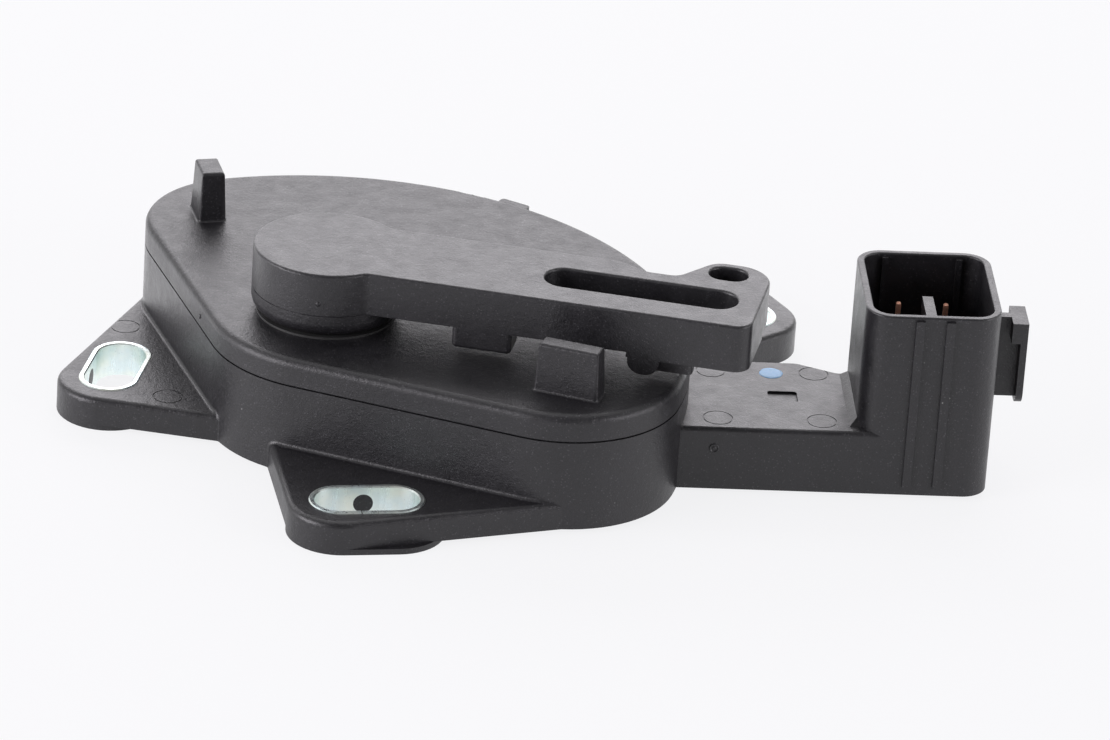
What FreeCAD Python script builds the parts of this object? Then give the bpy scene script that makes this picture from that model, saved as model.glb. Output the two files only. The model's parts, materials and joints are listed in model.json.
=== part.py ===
"""Neutral position sensor: a lever on a pivot turns wiping contacts inside a sector-shaped case.

Units are millimetres and degrees. The origin is on the lever's pivot axis, on the mounting plane under
the three ears. +Z points up through the cover, +X runs along the neck towards the plug socket.
"""
import FreeCAD, Part
import Sketcher
import math
import os
from FreeCAD import Vector

doc = FreeCAD.newDocument("neutral_position_sensor")
sheet = doc.addObject("Spreadsheet::Sheet", "sizes")

SIZES = [
    # Levels above the mounting plane
    ("pad_height", 0.8, "ear pads below the case"),
    ("ear_thickness", 3.7, "ears"),
    ("case_height", 12.4, "case from its underside to the joint with the cover"),
    ("cover_height", 3.8, "cover from the joint to its top"),
    ("neck_height", 8.8, "neck from the case's underside"),
    ("tower_height", 25.8, "plug socket from the case's underside"),
    # Sector outline of case and cover
    ("back_radius", 47.3, "arc at the back"),
    ("back_centre_x", 0.7, "its centre"),
    ("back_centre_y", -4.0, "its centre"),
    ("front_edge_offset", 16.5, "straight front edge from the pivot axis"),
    ("front_edge_angle", -23.0, "its direction"),
    ("left_edge_offset", 15.5, "straight left edge from the pivot axis"),
    ("left_edge_angle", 107.0, "its direction"),
    ("corner_right", 15.7, "front right corner"),
    ("corner_left", 17.9, "front left corner"),
    ("corner_rear", 14.3, "rear left corner"),
    ("wall", 2.4, "case wall"),
    ("floor_thickness", 2.2, "case floor"),
    ("cover_skin", 2.4, "cover plate"),
    ("cover_edge_round", 1.1, "rounded top edge of the cover"),
    ("joint_bevel", 0.25, "bevel that shows the joint line"),
    ("spigot_depth", 1.4, "cover's locating rim inside the case"),
    ("spigot_wall", 1.2, "its wall"),
    ("spigot_clearance", 0.15, "its clearance in the case"),
    # Slotted bushings and ears
    ("slot_width", 6.5, "bolt slot for an M6 bolt"),
    ("slot_travel", 7.1, "bolt slot between its arc centres"),
    ("bushing_wall", 0.75, "steel sleeve"),
    ("bushing_proud", 0.15, "sleeve above the ear"),
    ("grip_hole", 2.6, "hole in the sleeve that the plastic grips"),
    ("ear_rim", 2.8, "plastic round the sleeve"),
    ("left_slot_x", -27.4, "slot centre"),
    ("left_slot_y", 6.3, "slot centre"),
    ("left_slot_angle", 76.6, "slot direction"),
    ("front_slot_x", 5.3, "slot centre"),
    ("front_slot_y", -30.2, "slot centre"),
    ("front_slot_angle", 6.0, "slot direction"),
    ("rear_slot_x", 57.0, "slot centre"),
    ("rear_slot_y", 32.0, "slot centre"),
    ("rear_slot_angle", 117.0, "slot direction"),
    ("left_root_reach", 11.1, "root of the left ear from the pivot axis"),
    ("left_root_angle", 237.0, "its direction"),
    ("front_root_reach", 13.4, "root of the front ear from the pivot axis"),
    ("front_root_angle", -125.0, "its direction"),
    ("rear_low_angle", 17.0, "one root of the rear ear, about the back arc's centre"),
    ("rear_high_angle", 50.0, "its other root"),
    ("ear_overlap", 0.6, "sides of the ears inside the case's corners"),
    ("ear_round", 0.8, "rounded top edge of the ears"),
    ("ear_root_round", 0.5, "fillet between the ears and the case wall"),
    ("bushing_bevel", 0.15, "broken edges of the sleeve"),
    ("seam_width", 0.15, "seam of the rolled sleeve"),
    ("seam_offset", 1.2, "seam from the middle of the sleeve"),
    # Neck and plug socket
    ("tower_x", 78.5, "socket centre"),
    ("tower_y", -6.2, "socket centre"),
    ("tower_width", 17.8, "socket along X"),
    ("tower_depth", 20.6, "socket along Y"),
    ("tower_wall", 1.0, "socket wall"),
    ("tower_round", 3.5, "socket corners"),
    ("socket_depth", 16.0, "socket from its rim to its floor"),
    ("neck_back_y", 4.2, "back face of the neck"),
    ("neck_waist", 2.6, "step of the back face before the socket"),
    ("neck_round", 0.6, "rounded top edge of the neck"),
    ("socket_foot", 1.0, "bevel between the neck and the socket"),
    ("foot_slope", 45.0, "its slope"),
    ("rim_round", 0.25, "rounded rim of the socket"),
    ("rib_spacing", 4.0, "two ribs on the socket's faces"),
    ("rib_width", 1.15, "rib"),
    ("rib_height", 0.45, "rib above the face"),
    ("rib_below_rim", 0.5, "rib's top below the rim"),
    ("rib_foot", 1.2, "rib's lower end above the case's underside"),
    ("key_width", 1.4, "key inside the socket"),
    ("key_length", 9.8, "key from the front wall"),
    ("key_below_rim", 2.0, "key's top below the rim"),
    ("inner_rib_spacing", 9.8, "two guide ribs inside the back wall"),
    ("inner_rib_width", 0.8, "guide rib"),
    ("inner_rib_height", 0.5, "guide rib above the wall"),
    # Latch rail on the socket's end
    ("rail_reach", 4.4, "rail's outer face from the socket"),
    ("rail_thickness", 0.9, "outer flange"),
    ("rail_width", 5.6, "outer flange along Y"),
    ("rail_bottom", 9.8, "flange's lower end above the case's underside"),
    ("rail_top", 21.8, "flange's upper end above the case's underside"),
    ("rail_end_round", 2.0, "rounded lower end of the flange"),
    ("rail_web", 1.3, "web"),
    ("rail_web_rise", 0.5, "web's lower end above the flange's"),
    ("catch_depth", 2.1, "catch on the rail along X"),
    ("catch_height", 2.9, "catch along Z"),
    # Marks of the mould
    ("mark_radius", 2.0, "ejector pin mark"),
    ("mark_line", 0.15, "line round an ejector pin mark"),
    ("mark_depth", 0.08, "that line"),
    ("mark_near_x", 51.4, "marks on the neck nearest the case"),
    ("mark_far_x", 65.1, "marks on the neck nearest the socket"),
    ("mark_front_y", -13.3, "front marks on the neck"),
    ("mark_back_y", 0.8, "back marks on the neck"),
    ("rear_mark_x", -26.2, "mark on the left ear, behind its slot"),
    ("rear_mark_y", 18.6, "the same mark"),
    ("side_mark_x", -20.4, "mark on the left ear, beside its slot"),
    ("side_mark_y", -2.2, "the same mark"),
    ("panel_x", 60.45, "middle of the sunk panel on the neck"),
    ("panel_y", -6.35, "middle of the sunk panel"),
    ("panel_length", 3.9, "sunk panel along X"),
    ("panel_width", 3.1, "sunk panel along Y"),
    ("panel_depth", 0.3, "sunk panel"),
    ("panel_round", 0.4, "its corners"),
    # Lever
    ("lever_angle", -14.3, "arm's direction at rest"),
    ("hub_radius", 10.0, "hub"),
    ("hub_height", 9.0, "hub"),
    ("hub_gap", 0.5, "hub above the cover"),
    ("hub_round", 1.8, "rounded lower edge of the hub"),
    ("hub_fillet", 1.5, "fillet between the hub and the arm"),
    ("parting_line", 0.12, "line round the hub at the arm's underside"),
    ("arm_width", 15.0, "arm"),
    ("arm_thickness", 5.8, "arm"),
    ("arm_reach", 57.5, "arm from the axis to its end"),
    ("arm_corner", 2.2, "corner of the arm's end"),
    ("arm_edge_round", 0.35, "rounded top edge of the lever"),
    ("tip_length", 16.0, "thicker end of the arm"),
    ("tip_extra", 0.7, "its extra thickness"),
    ("bulge", 3.8, "bulge behind the arm's end"),
    ("bulge_length", 10.0, "bulge along the arm"),
    ("bulge_round", 4.6, "its far corner"),
    ("bulge_near_round", 3.2, "its near corner"),
    ("dip", 2.0, "hollow beside the bulge"),
    ("long_slot_width", 5.5, "long slot"),
    ("long_slot_start", 28.9, "its near end from the axis"),
    ("long_slot_length", 25.6, "long slot"),
    ("small_slot_width", 3.8, "small slot"),
    ("small_slot_length", 5.1, "small slot"),
    ("small_slot_x", 51.8, "its centre along the arm"),
    ("small_slot_y", 8.1, "its centre across the arm"),
    ("pad_start", 18.4, "first pad under the arm, from the axis"),
    ("pad_length", 7.9, "first pad"),
    ("pad_depth", 4.7, "first pad across the arm"),
    ("pad_drop", 2.9, "pads below the arm"),
    ("pad_round", 0.6, "pad corners"),
    ("pad_edge_round", 0.5, "lower edges of the first pad"),
    ("tab_start", 41.7, "rounded tab under the arm, from the axis"),
    ("tab_length", 4.2, "rounded tab"),
    ("tab_depth", 2.4, "rounded tab across the arm"),
    ("tab_round", 1.9, "rounded lower end of the tab"),
    ("far_pad_start", 44.0, "pad behind the tab, from the axis"),
    ("far_pad_length", 6.0, "pad behind the tab"),
    ("far_pad_depth", 2.4, "pad behind the tab across the arm"),
    ("far_pad_setback", 1.8, "pad behind the arm's face"),
    # Stops on the cover
    ("low_stop_angle", -21.0, "arm's direction at the stop block"),
    ("high_stop_angle", 101.0, "arm's direction at the stop post"),
    ("stop_clearance", 0.3, "lever to stop at the end of its travel"),
    ("block_start", 32.4, "stop block, from the axis"),
    ("block_length", 8.8, "stop block"),
    ("block_thickness", 3.4, "stop block"),
    ("block_height", 6.6, "stop block"),
    ("post_start", 28.4, "stop post, from the axis"),
    ("post_length", 5.9, "stop post"),
    ("post_thickness", 3.8, "stop post"),
    ("post_height", 7.0, "stop post"),
    ("stop_draft", 3.0, "draft of both stops"),
    ("stop_round", 0.5, "corners of both stops"),
    ("stop_edge_round", 0.45, "top edges of both stops"),
    ("stop_foot_round", 0.3, "fillet at the foot of both stops"),
    ("lug_angle", 57.5, "lug on the cover's back edge, about the back arc's centre"),
    ("lug_width", 4.4, "lug"),
    ("lug_height", 1.0, "lug beyond the edge"),
    ("lug_drop", 0.35, "lug below the cover's top"),
    # Pivot
    ("shaft_radius", 4.0, "shaft in the cover"),
    ("shaft_depth", 6.5, "shaft inside the hub"),
    ("drive_radius", 3.4, "shaft in the contact arm"),
    ("drive_flat", 2.7, "flats of the drive from the axis"),
    ("journal_radius", 2.5, "shaft in the floor bush"),
    ("running_clearance", 0.04, "shaft in its bushes"),
    ("seal_clearance", 0.06, "shaft in its seal"),
    ("bush_wall", 1.2, "cover bush"),
    ("bush_flange", 1.3, "cover bush flange beyond the sleeve"),
    ("bush_flange_thickness", 0.8, "cover bush flange"),
    ("boss_depth", 3.0, "cover boss below the plate"),
    ("boss_wall", 3.0, "cover boss round the bush"),
    ("seal_height", 1.8, "shaft seal"),
    ("seal_width", 2.0, "shaft seal"),
    ("washer_thickness", 0.3, "thrust washer"),
    ("washer_inset", 0.7, "washer inside the hub's edge"),
    ("washer_bore_clearance", 0.3, "washer round the shaft"),
    ("clip_thickness", 0.7, "retaining clip"),
    ("clip_groove_depth", 0.8, "groove in the shaft"),
    ("clip_width", 2.6, "retaining clip"),
    ("clip_mouth", 5.0, "opening of the clip"),
    ("clip_gap", 0.1, "clip below the bush, and in its groove"),
    ("floor_bush_wall", 1.5, "floor bush"),
    ("floor_bush_height", 3.2, "floor bush"),
    ("floor_boss_wall", 2.0, "boss round the floor bush"),
    ("floor_skin", 1.6, "floor under the bush"),
    ("journal_gap", 0.2, "shaft end above the bush's seat"),
    ("arm_gap", 0.4, "contact arm above the floor boss"),
    # Contacts
    ("ledge_height", 0.9, "board's ledge above the floor"),
    ("ledge_width", 1.5, "board's ledge"),
    ("board_thickness", 1.6, "track board"),
    ("board_clearance", 0.15, "board inside the wall"),
    ("board_bore_clearance", 0.3, "board round the floor boss"),
    ("track_thickness", 0.35, "contact arcs"),
    ("track_width", 3.0, "contact arcs"),
    ("track_radius", 13.0, "innermost arc"),
    ("track_pitch", 6.0, "arc to arc"),
    ("contact_gap", 0.25, "wiper above its arc"),
    ("carrier_hub", 7.0, "contact arm's hub radius"),
    ("carrier_hub_height", 3.8, "contact arm's hub"),
    ("carrier_plate", 2.0, "contact arm's plate"),
    ("carrier_width", 10.0, "contact arm"),
    ("carrier_reach", 34.5, "contact arm from the axis"),
    ("wiper_thickness", 0.25, "wiper strip"),
    ("wiper_width", 3.0, "wiper along the arm at each finger"),
    ("wiper_finger", 2.0, "wiper finger"),
    ("rivet_radius", 0.9, "rivets of the wipers"),
    ("rivet_head", 1.5, "rivet heads"),
    ("rivet_head_thickness", 0.4, "rivet heads"),
    # Terminals
    ("pin_size", 0.64, "square pin"),
    ("pin_spacing", 6.3, "pins along X"),
    ("row_spacing", 10.2, "pins along Y"),
    ("pin_below_rim", 5.1, "pin tips below the rim"),
    ("pin_taper", 0.2, "bevel of the pin tips"),
    ("strip_width", 1.2, "terminal strip in the neck"),
    ("lane_shift", 2.4, "strip of an outer pin beside that of the inner pin"),
    # Cover seal
    ("seal_groove", 1.0, "bead in the joint"),
]


def fill_sheet():
    """Write each size in its own cell, with its name as the alias and its meaning beside it."""
    for row, (name, size, meaning) in enumerate(SIZES, start=1):
        sheet.set("A%d" % row, str(size))
        sheet.setAlias("A%d" % row, name)
        sheet.set("B%d" % row, "'" + meaning)
    doc.recompute()


def size(name):
    """Number in the cell with this alias."""
    return float(sheet.get(name))


def cell(text):
    """Expression in which each word that is a size reads its cell."""
    names = {name for name, _, _ in SIZES}
    words = text.split()
    return " ".join("sizes." + word if word in names else word for word in words)


fill_sheet()

# Levels as expressions, each from the mounting plane
CASE_BOTTOM = "pad_height"
EAR_TOP = "pad_height + ear_thickness"
JOINT = "pad_height + case_height"
COVER_TOP = JOINT + " + cover_height"
COVER_UNDER = COVER_TOP + " - cover_skin"
FLOOR_TOP = "pad_height + floor_thickness"
NECK_TOP = "pad_height + neck_height"
RIM = "pad_height + tower_height"
HUB_BOTTOM = COVER_TOP + " + hub_gap"
LEVER_TOP = HUB_BOTTOM + " + hub_height"
ARM_BOTTOM = LEVER_TOP + " - arm_thickness"
BOSS_BOTTOM = COVER_UNDER + " - boss_depth"
BUSH_BOTTOM = BOSS_BOTTOM + " - bush_flange_thickness"
BUSH_SEAT = "pad_height + floor_skin"
FLOOR_BOSS_TOP = BUSH_SEAT + " + floor_bush_height"
BOARD_BOTTOM = FLOOR_TOP + " + ledge_height"
BOARD_TOP = BOARD_BOTTOM + " + board_thickness"
TRACK_TOP = BOARD_TOP + " + track_thickness"
CARRIER_BOTTOM = FLOOR_BOSS_TOP + " + arm_gap"
CARRIER_TOP = CARRIER_BOTTOM + " + carrier_hub_height"
PLATE_BOTTOM = CARRIER_TOP + " - carrier_plate"
PIN_LENGTH = "tower_height - pin_below_rim - floor_thickness"
WIPER_BOTTOM = TRACK_TOP + " + contact_gap"


def level(text):
    """Number that a level or another sum of sizes comes to."""
    total = 0.0
    sign = 1.0
    for word in text.replace("(", " ( ").replace(")", " ) ").split():
        if word in "+-":
            sign = 1.0 if word == "+" else -1.0
        elif word not in "()":
            total += sign * size(word)
    return total


# Plane outlines: lists of lines and arcs that close

def polar(angle, reach=1.0):
    """Vector of a length in a direction given in degrees."""
    turn = math.radians(angle)
    return Vector(reach * math.cos(turn), reach * math.sin(turn), 0)


def arc(centre, radius, start, end):
    """Arc from one point to another, anticlockwise about its centre."""
    first = math.atan2(start.y - centre.y, start.x - centre.x)
    last = math.atan2(end.y - centre.y, end.x - centre.x)
    if last <= first:
        last += 2 * math.pi
    circle = Part.Circle(centre, Vector(0, 0, 1), radius)
    return Part.ArcOfCircle(circle, first, last)


def hull(items):
    """Tight band, anticlockwise, round circles given as (centre, radius); a radius of 0 is a point."""
    count = len(items)
    touch = []
    for index in range(count):
        (here, radius), (there, other) = items[index], items[(index + 1) % count]
        step = there - here
        turn = math.atan2(step.y, step.x) - math.asin((other - radius) / step.Length)
        outward = Vector(math.sin(turn), -math.cos(turn), 0)
        touch.append((here + outward * radius, there + outward * other))
    loop = []
    for index in range(count):
        loop.append(Part.LineSegment(*touch[index]))
        centre, radius = items[(index + 1) % count]
        if radius > 0:
            loop.append(arc(centre, radius, touch[index][1], touch[(index + 1) % count][0]))
    return loop


def rounded(corners):
    """Closed outline through corners (x, y, radius), anticlockwise, with each corner rounded."""
    count = len(corners)
    places = [Vector(x, y, 0) for x, y, _ in corners]
    ends = []
    arcs = []
    for index, (_, _, radius) in enumerate(corners):
        here = places[index]
        back = (places[index - 1] - here).normalize()
        ahead = (places[(index + 1) % count] - here).normalize()
        half = back.getAngle(ahead) / 2
        reach = radius / math.tan(half)
        enter, leave = here + back * reach, here + ahead * reach
        ends.append((enter, leave))
        if radius > 0:
            centre = here + (back + ahead).normalize() * (radius / math.sin(half))
            left_turn = (here - places[index - 1]).cross(places[(index + 1) % count] - here).z > 0
            pair = (enter, leave) if left_turn else (leave, enter)
            arcs.append(arc(centre, radius, *pair))
    lines = [Part.LineSegment(ends[i][1], ends[(i + 1) % count][0]) for i in range(count)]
    return lines + arcs


def rectangle(x_low, y_low, x_high, y_high, radius=0.0):
    """Rectangle with rounded corners."""
    spots = [(x_low, y_low), (x_high, y_low), (x_high, y_high), (x_low, y_high)]
    return rounded([(x, y, radius) for x, y in spots])


def slot_ends(side):
    """Two arc centres of an ear's bolt slot."""
    centre = Vector(size(side + "_slot_x"), size(side + "_slot_y"), 0)
    half = polar(size(side + "_slot_angle"), size("slot_travel") / 2)
    return centre - half, centre + half


def slot_outline(side, radius):
    """Obround about an ear's bolt slot."""
    near, far = slot_ends(side)
    return hull([(near, radius), (far, radius)])


def circle(radius, x=0.0, y=0.0):
    """Full circle, about the pivot axis unless a centre is given."""
    return [Part.Circle(Vector(x, y, 0), Vector(0, 0, 1), radius)]


def sector_corners(inset=0.0):
    """Centres and radii of the case's three rounded corners and its back arc."""
    back = Vector(size("back_centre_x"), size("back_centre_y"), 0)

    def line(edge, outward):
        direction = polar(size(edge + "_edge_angle"))
        normal = Vector(direction.y, -direction.x, 0) * outward
        return direction, normal, size(edge + "_edge_offset")

    def beside_arc(edge, radius, forward):
        direction, normal, offset = edge
        foot = normal * (offset - radius)
        along = (back - foot).dot(direction)
        across = (back - foot - direction * along).Length
        reach = math.sqrt((size("back_radius") - radius) ** 2 - across ** 2)
        return foot + direction * (along + forward * reach)

    front = line("front", 1)
    left = line("left", -1)
    right_corner = beside_arc(front, size("corner_right"), 1)
    rear_corner = beside_arc(left, size("corner_rear"), 1)
    apart = size("corner_left")
    turn = front[1].x * left[1].y - front[1].y * left[1].x
    reach_front, reach_left = front[2] - apart, left[2] - apart
    left_corner = Vector(
        (reach_front * left[1].y - reach_left * front[1].y) / turn,
        (reach_left * front[1].x - reach_front * left[1].x) / turn, 0)
    return {
        "right": (right_corner, size("corner_right") - inset),
        "left": (left_corner, apart - inset),
        "rear": (rear_corner, size("corner_rear") - inset),
        "back": (back, size("back_radius") - inset),
    }


def sector(inset=0.0):
    """Outline of the case, or that outline moved inwards."""
    spots = sector_corners(inset)
    (right, right_r), (left, left_r) = spots["right"], spots["left"]
    (rear, rear_r), (back, back_r) = spots["rear"], spots["back"]
    down = polar(size("front_edge_angle") - 90)
    side = polar(size("left_edge_angle") + 90)
    right_top = back + (right - back).normalize() * back_r
    rear_top = back + (rear - back).normalize() * back_r
    return [
        arc(back, back_r, right_top, rear_top),
        arc(rear, rear_r, rear_top, rear + side * rear_r),
        Part.LineSegment(rear + side * rear_r, left + side * left_r),
        arc(left, left_r, left + side * left_r, left + down * left_r),
        Part.LineSegment(left + down * left_r, right + down * right_r),
        arc(right, right_r, right + down * right_r, right_top),
    ]


# Features of a PartDesign body

NEAR = 1e-3

def new_body(label):
    """Empty body, whose label names the file of a finished piece."""
    return doc.addObject("PartDesign::Body", label)


def sketch(body, name, height, *loops):
    """Sketch on the body's ground plane, lifted to a height."""
    drawing = body.newObject("Sketcher::SketchObject", name + "_sketch")
    plane = next(item for item in body.Origin.OriginFeatures if item.Role == "XY_Plane")
    drawing.AttachmentSupport = [(plane, "")]
    drawing.MapMode = "FlatFace"
    drawing.setExpression("AttachmentOffset.Base.z", cell(height))
    for loop in loops:
        for edge in loop:
            index = drawing.addGeometry(edge, False)
            drawing.addConstraint(Sketcher.Constraint("Block", index))
    return drawing


def settle(feature):
    """Recompute, and stop if the feature failed."""
    doc.recompute()
    if not feature.isValid() or feature.Shape.isNull():
        raise RuntimeError(feature.Name + " failed")
    return feature


def pad(body, name, height, length, *loops, draft=None):
    """Add the outline upwards from a height."""
    feature = body.newObject("PartDesign::Pad", name)
    feature.Profile = sketch(body, name, height, *loops)
    feature.setExpression("Length", cell(length))
    if draft:
        feature.setExpression("TaperAngle", cell(draft))
    return settle(feature)


def pocket(body, name, top, depth, *loops):
    """Cut the outline downwards from a height."""
    before = body.Shape.Volume
    feature = body.newObject("PartDesign::Pocket", name)
    feature.Profile = sketch(body, name, top, *loops)
    feature.setExpression("Length", cell(depth))
    settle(feature)
    if body.Shape.Volume >= before:
        raise RuntimeError(name + " cuts nothing")
    return feature


def dress(body, kind, name, amount, wanted):
    """Fillet or chamfer on the edges of the body's last feature that a test picks."""
    base = body.Tip
    picked = ["Edge%d" % (i + 1) for i, edge in enumerate(base.Shape.Edges) if wanted(edge)]
    if not picked:
        raise RuntimeError(name + " finds no edge")
    feature = body.newObject("PartDesign::" + kind, name)
    feature.Base = (base, picked)
    feature.setExpression("Radius" if kind == "Fillet" else "Size", cell(amount))
    return settle(feature)


def flat_at(edge, height):
    """True where an edge lies in a horizontal plane."""
    box = edge.BoundBox
    return abs(box.ZMin - height) < NEAR and abs(box.ZMax - height) < NEAR


def on_outline(edge, loop):
    """True where an edge, seen in plan, lies on a closed outline."""
    wire = Part.Wire(Part.__sortEdges__([item.toShape() for item in loop]))
    spots = [Part.Vertex(p.x, p.y, 0) for p in edge.discretize(5)]
    return all(wire.distToShape(spot)[0] < NEAR for spot in spots)


# Housing

SIDES = ("left", "front", "rear")


def ear_outline(side, corners):
    """Ear from the case to its tip round the bolt slot."""
    near, far = slot_ends(side)
    rim = size("slot_width") / 2 + size("bushing_wall") + size("ear_rim")
    if side == "left":
        root = polar(size("left_root_angle"), size("left_root_reach"))
        return hull([corners["rear"], (near, rim), (root, 0.0)])
    if side == "front":
        root = polar(size("front_root_angle"), size("front_root_reach"))
        return hull([(root, 0.0), (near, rim), corners["right"]])
    back = corners["back"][0]
    back_radius = size("back_radius")
    low_root = back + polar(size("rear_low_angle"), back_radius - size("wall"))
    high_root = back + polar(size("rear_high_angle"), back_radius - size("wall"))
    return hull([(low_root, 0.0), (near, rim), (far, rim), (high_root, 0.0)])


def neck_outline():
    """Neck in plan, from inside the case to inside the socket, with a waist at the back."""
    front = size("tower_y") - size("tower_depth") / 2
    back = size("neck_back_y")
    waist = back - size("neck_waist")
    left = size("corner_right") + size("wall")
    right = size("tower_x")
    bend = right - size("tower_width") / 2 - size("neck_waist") / 2
    ease = size("neck_waist")
    return rounded([
        (left, front, 0), (right, front, 0), (right, waist, 0),
        (bend, waist, ease), (bend - 2 * ease, back, ease), (left, back, 0),
    ])


def tower_outline(inset=0.0):
    """Plug socket in plan."""
    half_x = size("tower_width") / 2 - inset
    half_y = size("tower_depth") / 2 - inset
    x, y = size("tower_x"), size("tower_y")
    return rectangle(x - half_x, y - half_y, x + half_x, y + half_y, size("tower_round") - inset)


def foot_outline():
    """Bevel along the socket's near wall, over the flat of the neck."""
    near = size("tower_x") - size("tower_width") / 2
    front = size("tower_y") - size("tower_depth") / 2 + size("tower_round") / 2
    back = size("neck_back_y") - size("neck_waist") - size("neck_round")
    return rectangle(near - size("socket_foot"), front, near + size("tower_round"), back)


def rib_outlines():
    """Two ribs across the socket, proud of its front and back faces."""
    half = size("rib_width") / 2
    reach = size("tower_depth") / 2 + size("rib_height")
    y = size("tower_y")
    loops = []
    for sign in (-1, 1):
        x = size("tower_x") + sign * size("rib_spacing") / 2
        loops.append(rectangle(x - half, y - reach, x + half, y + reach))
    return loops


def inner_rib_outlines():
    """Two guide ribs inside the socket's back wall."""
    half = size("inner_rib_width") / 2
    face = size("tower_y") + size("tower_depth") / 2 - size("tower_wall")
    loops = []
    for sign in (-1, 1):
        x = size("tower_x") + sign * size("inner_rib_spacing") / 2
        low = face - size("inner_rib_height")
        loops.append(rectangle(x - half, low, x + half, face + size("tower_wall") / 2))
    return loops


def key_outline():
    """Key that stands out from the socket's front wall."""
    half = size("key_width") / 2
    face = size("tower_y") - size("tower_depth") / 2 + size("tower_wall")
    x = size("tower_x")
    start = face - size("tower_wall") / 2
    return rectangle(x - half, start, x + half, face + size("key_length"))


def rail_outlines():
    """Flange, web and catch of the latch rail in plan."""
    face = size("tower_x") + size("tower_width") / 2
    y = size("tower_y")
    outer = face + size("rail_reach")
    inner = outer - size("rail_thickness")
    half = size("rail_width") / 2
    web = size("rail_web") / 2
    flange = rectangle(inner, y - half, outer, y + half)
    plate = rectangle(face - size("tower_wall") / 2, y - web, inner, y + web)
    catch = rectangle(outer - size("catch_depth"), y - half, inner, y + half)
    return flange, plate, catch


def build_housing():
    """Cup, ears, neck, socket and latch rail in one moulding, before its inserts are seated."""
    body = new_body("moulding")
    build_ears_and_neck(body)
    pad(body, "cup", CASE_BOTTOM, "case_height", sector())
    ear_top = level(EAR_TOP)
    dress(body, "Fillet", "ear_roots", "ear_root_round",
          lambda edge: flat_at(edge, ear_top) and on_outline(edge, sector()))
    pad(body, "tower", CASE_BOTTOM, "tower_height", tower_outline())
    pad(body, "socket_foot_bevel", NECK_TOP, "socket_foot", foot_outline(), draft="0 - foot_slope")
    for index, loop in enumerate(rib_outlines()):
        pad(body, "rib_%d" % index, CASE_BOTTOM + " + rib_foot",
            "tower_height - rib_foot - rib_below_rim", loop)
    flange, web, catch = rail_outlines()
    pad(body, "rail_web", CASE_BOTTOM + " + rail_bottom + rail_web_rise",
        "rail_top - rail_bottom - rail_web_rise", web)
    pad(body, "rail_flange", CASE_BOTTOM + " + rail_bottom", "rail_top - rail_bottom", flange)
    rail_end = level(CASE_BOTTOM + " + rail_bottom")
    socket_end = size("tower_x") + size("tower_width") / 2
    dress(body, "Fillet", "rail_end", "rail_end_round",
          lambda edge: flat_at(edge, rail_end) and edge.BoundBox.YLength < NEAR
          and edge.BoundBox.XMin > socket_end)
    pad(body, "rail_catch", CASE_BOTTOM + " + rail_top - catch_height", "catch_height", catch)
    pocket(body, "socket", RIM, "socket_depth", tower_outline(size("tower_wall")))
    rim = level(RIM)
    dress(body, "Fillet", "socket_rim", "rim_round", lambda edge: flat_at(edge, rim))
    for index, loop in enumerate(inner_rib_outlines()):
        pad(body, "inner_rib_%d" % index, RIM + " - socket_depth", "socket_depth - rib_below_rim", loop)
    pad(body, "key", RIM + " - socket_depth", "socket_depth - key_below_rim", key_outline())
    pocket(body, "cavity", JOINT, "case_height - floor_thickness - ledge_height", sector(size("wall")))
    ledge = size("wall") + size("ledge_width")
    pocket(body, "well", BOARD_BOTTOM, "ledge_height", sector(ledge))
    boss = size("journal_radius") + size("running_clearance") + size("floor_bush_wall")
    outer_boss = boss + size("floor_boss_wall")
    pad(body, "floor_boss", CASE_BOTTOM, FLOOR_BOSS_TOP + " - " + CASE_BOTTOM, circle(outer_boss))
    pocket(body, "floor_bore", FLOOR_BOSS_TOP, "floor_bush_height", circle(boss))
    side_room = (size("wall") - size("seal_groove")) / 2
    pocket(body, "seal_channel", JOINT, "seal_groove",
           sector(side_room), sector(side_room + size("seal_groove")))
    for side in SIDES:
        pocket(body, side + "_slot", EAR_TOP, EAR_TOP, slot_outline(side, size("slot_width") / 2))
    mark_moulding(body)
    return body


def build_ears_and_neck(body):
    """Ears and neck on the floor plate, with their rounded edges, before the cup closes over their roots."""
    corners = sector_corners(size("ear_overlap"))
    foot = size("slot_width") / 2 + size("bushing_wall") + size("ear_rim")
    pad(body, "floor_plate", CASE_BOTTOM, "floor_thickness", sector())
    for side in SIDES:
        outline = ear_outline(side, corners)
        pad(body, side + "_ear", CASE_BOTTOM, "ear_thickness", outline)
        round_top(body, side + "_ear_edge", "ear_round", EAR_TOP, outline)
        pad(body, side + "_foot", "0 mm", "pad_height", slot_outline(side, foot))
    pad(body, "neck", CASE_BOTTOM, "neck_height", neck_outline())
    round_top(body, "neck_edge", "neck_round", NECK_TOP, neck_outline())


def round_top(body, name, radius, height, outline):
    """Fillet along an outline's top edge."""
    top = level(height)
    dress(body, "Fillet", name, radius, lambda edge: flat_at(edge, top) and on_outline(edge, outline))


def mark_moulding(body):
    """Ejector pin marks on the neck and the left ear, and the sunk panel on the neck."""
    spots = [(size(x), size(y), NECK_TOP) for x in ("mark_near_x", "mark_far_x")
             for y in ("mark_front_y", "mark_back_y")]
    spots += [(size(spot + "_mark_x"), size(spot + "_mark_y"), EAR_TOP) for spot in ("rear", "side")]
    for index, (x, y, top) in enumerate(spots):
        outer = size("mark_radius")
        pocket(body, "mark_%d" % index, top, "mark_depth",
               circle(outer, x, y), circle(outer - size("mark_line"), x, y))
    half_x, half_y = size("panel_length") / 2, size("panel_width") / 2
    x, y = size("panel_x"), size("panel_y")
    panel = rectangle(x - half_x, y - half_y, x + half_x, y + half_y, size("panel_round"))
    pocket(body, "sunk_panel", NECK_TOP, "panel_depth", panel)


# Cover

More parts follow.
